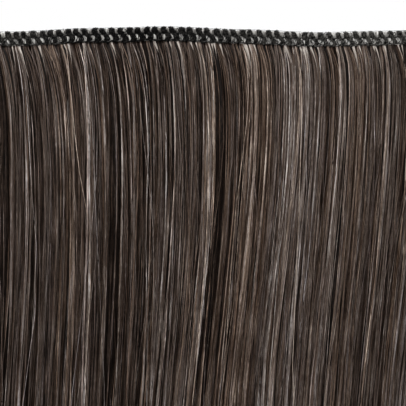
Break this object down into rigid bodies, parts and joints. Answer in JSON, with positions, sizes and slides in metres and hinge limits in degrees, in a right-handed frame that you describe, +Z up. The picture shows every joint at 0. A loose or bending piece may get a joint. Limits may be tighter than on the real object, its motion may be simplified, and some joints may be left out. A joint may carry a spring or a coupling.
{
  "type": "hair weft extension",
  "caption": "Machine-sewn hair weft: a long curtain of straight ash-brown hair in soft locks, hanging from a narrow band closed with black double-row stitching.",
  "frame": {"origin": "middle of the band's flat back, at the level of the seam, where the weft is sewn, taped or clipped on", "axes": "+X along the band to the wearer's view right when seen from the hair's face, +Y out of the band's flat back, +Z up from the hair tips to the band"},
  "size_m": [0.2542, 0.0061, 0.4048],
  "materials": {
    "hair": "satin",
    "thread": "satin",
    "band": "satin"
  },
  "bodies": {
    "root": {"weft_band": "band", "edge_stitches": "thread", "chain_stitches": "thread", "binding_thread": "thread", "hair_curtain": "hair"}
  },
  "joints": []
}
